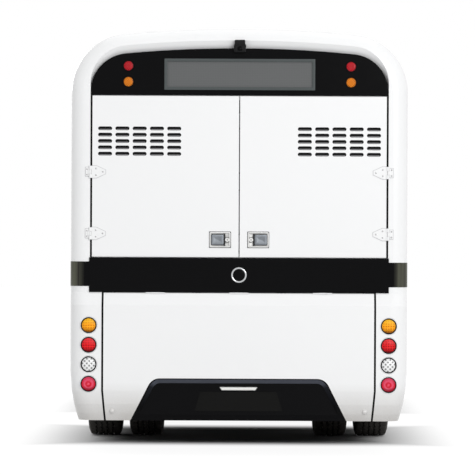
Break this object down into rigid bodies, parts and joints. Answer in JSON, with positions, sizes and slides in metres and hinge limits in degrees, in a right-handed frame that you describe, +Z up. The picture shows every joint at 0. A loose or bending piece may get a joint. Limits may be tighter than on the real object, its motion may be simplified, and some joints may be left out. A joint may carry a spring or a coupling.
{
  "type": "electric city bus",
  "caption": "Low-floor electric city bus with louvred rear doors, a black rear band, round rear lamps, a lifting rear hatch and inward-swinging passenger doors.",
  "frame": {"origin": "on the ground under the middle of the bus", "axes": "+Y towards the front, +X towards the passenger doors, the driver's right, +Z up"},
  "size_m": [2.96, 10.5, 3.4],
  "materials": {
    "body_paint": "gloss",
    "rear_paint": "gloss",
    "door_paint": "gloss",
    "black_gloss": "gloss",
    "black_plastic": "satin",
    "glass": "gloss",
    "screen_glass": "gloss",
    "display": "satin",
    "amber": "gloss",
    "red": "gloss",
    "clear": "gloss",
    "chrome": "polished",
    "frame_steel": "satin",
    "cast": "rough",
    "rubber": "matte",
    "tyre": "matte",
    "rim": "satin",
    "floor": "matte",
    "box_steel": "satin",
    "seat": "satin",
    "rail_yellow": "gloss",
    "cockpit": "matte",
    "alloy": "satin",
    "unit_paint": "satin"
  },
  "bodies": {
    "body": {"underframe": "frame_steel", "floor_pan": "floor", "wheel_boxes": "box_steel", "side_wall_left": "body_paint", "side_wall_right": "body_paint", "roof": "body_paint", "front_cap": "body_paint", "front_bumper": "body_paint", "rear_cap": "rear_paint", "rear_corners": "rear_paint", "rear_band": "black_gloss", "rear_top_panel": "black_gloss", "destination_displays": "display", "rear_camera": "black_plastic", "windscreen": "screen_glass", "side_windows": "glass", "headlamps": "clear", "lamps_amber": "amber", "lamps_red": "red", "lamps_clear": "clear", "mirrors": "black_plastic", "wipers": "black_plastic", "roof_unit": "unit_paint", "battery_pack": "alloy", "traction_motor": "cast", "front_axle": "cast", "rear_axle": "cast", "air_springs": "rubber", "passenger_seats": "seat", "driver_station": "cockpit", "handrails": "rail_yellow"},
    "knuckle_left": {"knuckle_left": "cast"},
    "wheel_front_left": {"tyre_front_left": "tyre", "rim_front_left": "rim"},
    "wheel_rear_left": {"tyres_rear_left": "tyre", "rims_rear_left": "rim"},
    "rear_door_left": {"rear_door_left": "rear_paint", "door_latch_left": "chrome"},
    "knuckle_right": {"knuckle_right": "cast"},
    "wheel_front_right": {"tyre_front_right": "tyre", "rim_front_right": "rim"},
    "wheel_rear_right": {"tyres_rear_right": "tyre", "rims_rear_right": "rim"},
    "rear_door_right": {"rear_door_right": "rear_paint", "door_latch_right": "chrome"},
    "tie_rod": {"tie_rod": "cast"},
    "rear_hatch": {"rear_hatch": "rear_paint", "bumper_insert": "black_plastic", "plate_lamp": "clear"},
    "door_arm_front_back": {"door_arm_front_back": "frame_steel"},
    "door_leaf_front_back": {"door_leaf_front_back": "door_paint"},
    "door_arm_front_fore": {"door_arm_front_fore": "frame_steel"},
    "door_leaf_front_fore": {"door_leaf_front_fore": "door_paint"},
    "door_arm_middle_back": {"door_arm_middle_back": "frame_steel"},
    "door_leaf_middle_back": {"door_leaf_middle_back": "door_paint"},
    "door_arm_middle_fore": {"door_arm_middle_fore": "frame_steel"},
    "door_leaf_middle_fore": {"door_leaf_middle_fore": "door_paint"}
  },
  "joints": [
    {"name": "steer_left", "type": "hinge", "parent": "body", "child": "knuckle_left", "pos_m": [-0.89, 2.6, 0.479], "axis": [0, 0, 1], "range_deg": [-42, 42]},
    {"name": "wheel_front_left_spin", "type": "hinge", "parent": "knuckle_left", "child": "wheel_front_left", "pos_m": [-1.045, 2.6, 0.479], "axis": [1, 0, 0], "continuous": true},
    {"name": "wheel_rear_left_spin", "type": "hinge", "parent": "body", "child": "wheel_rear_left", "pos_m": [-1.08, -2.45, 0.479], "axis": [1, 0, 0], "continuous": true},
    {"name": "rear_door_left_open", "type": "hinge", "parent": "body", "child": "rear_door_left", "pos_m": [-1.105, -5.214, 2], "axis": [0, 0, -1], "range_deg": [0, 110]},
    {"name": "steer_right", "type": "hinge", "parent": "body", "child": "knuckle_right", "pos_m": [0.89, 2.6, 0.479], "axis": [0, 0, 1], "range_deg": [-42, 42]},
    {"name": "wheel_front_right_spin", "type": "hinge", "parent": "knuckle_right", "child": "wheel_front_right", "pos_m": [1.045, 2.6, 0.479], "axis": [1, 0, 0], "continuous": true},
    {"name": "wheel_rear_right_spin", "type": "hinge", "parent": "body", "child": "wheel_rear_right", "pos_m": [1.08, -2.45, 0.479], "axis": [1, 0, 0], "continuous": true},
    {"name": "rear_door_right_open", "type": "hinge", "parent": "body", "child": "rear_door_right", "pos_m": [1.105, -5.214, 2], "axis": [0, 0, 1], "range_deg": [0, 110]},
    {"name": "tie_rod_swing", "type": "hinge", "parent": "knuckle_left", "child": "tie_rod", "pos_m": [-0.89, 2.4, 0.19], "axis": [0, 0, -1], "range_deg": [-42, 42]},
    {"name": "rear_hatch_lift", "type": "hinge", "parent": "body", "child": "rear_hatch", "pos_m": [0, -5.215, 1.203], "axis": [-1, 0, 0], "range_deg": [0, 80]},
    {"name": "door_arm_front_back_turn", "type": "hinge", "parent": "body", "child": "door_arm_front_back", "pos_m": [1.16, 3.36, 0.4], "axis": [0, 0, 1], "range_deg": [0, 90]},
    {"name": "door_leaf_front_back_swing", "type": "hinge", "parent": "door_arm_front_back", "child": "door_leaf_front_back", "pos_m": [1.16, 3.705, 0.4], "axis": [0, 0, -1], "range_deg": [0, 180]},
    {"name": "door_arm_front_fore_turn", "type": "hinge", "parent": "body", "child": "door_arm_front_fore", "pos_m": [1.16, 4.66, 0.4], "axis": [0, 0, -1], "range_deg": [0, 90]},
    {"name": "door_leaf_front_fore_swing", "type": "hinge", "parent": "door_arm_front_fore", "child": "door_leaf_front_fore", "pos_m": [1.16, 4.315, 0.4], "axis": [0, 0, 1], "range_deg": [0, 180]},
    {"name": "door_arm_middle_back_turn", "type": "hinge", "parent": "body", "child": "door_arm_middle_back", "pos_m": [1.16, -1.56, 0.4], "axis": [0, 0, 1], "range_deg": [0, 90]},
    {"name": "door_leaf_middle_back_swing", "type": "hinge", "parent": "door_arm_middle_back", "child": "door_leaf_middle_back", "pos_m": [1.16, -1.215, 0.4], "axis": [0, 0, -1], "range_deg": [0, 180]},
    {"name": "door_arm_middle_fore_turn", "type": "hinge", "parent": "body", "child": "door_arm_middle_fore", "pos_m": [1.16, -0.26, 0.4], "axis": [0, 0, -1], "range_deg": [0, 90]},
    {"name": "door_leaf_middle_fore_swing", "type": "hinge", "parent": "door_arm_middle_fore", "child": "door_leaf_middle_fore", "pos_m": [1.16, -0.605, 0.4], "axis": [0, 0, 1], "range_deg": [0, 180]}
  ],
  "couplings": [
    {"joint": "steer_right", "follows": "steer_left", "ratio": 1},
    {"joint": "tie_rod_swing", "follows": "steer_left", "ratio": 1},
    {"joint": "door_leaf_front_back_swing", "follows": "door_arm_front_back_turn", "ratio": 2},
    {"joint": "door_leaf_front_fore_swing", "follows": "door_arm_front_fore_turn", "ratio": 2},
    {"joint": "door_leaf_middle_back_swing", "follows": "door_arm_middle_back_turn", "ratio": 2},
    {"joint": "door_leaf_middle_fore_swing", "follows": "door_arm_middle_fore_turn", "ratio": 2}
  ]
}
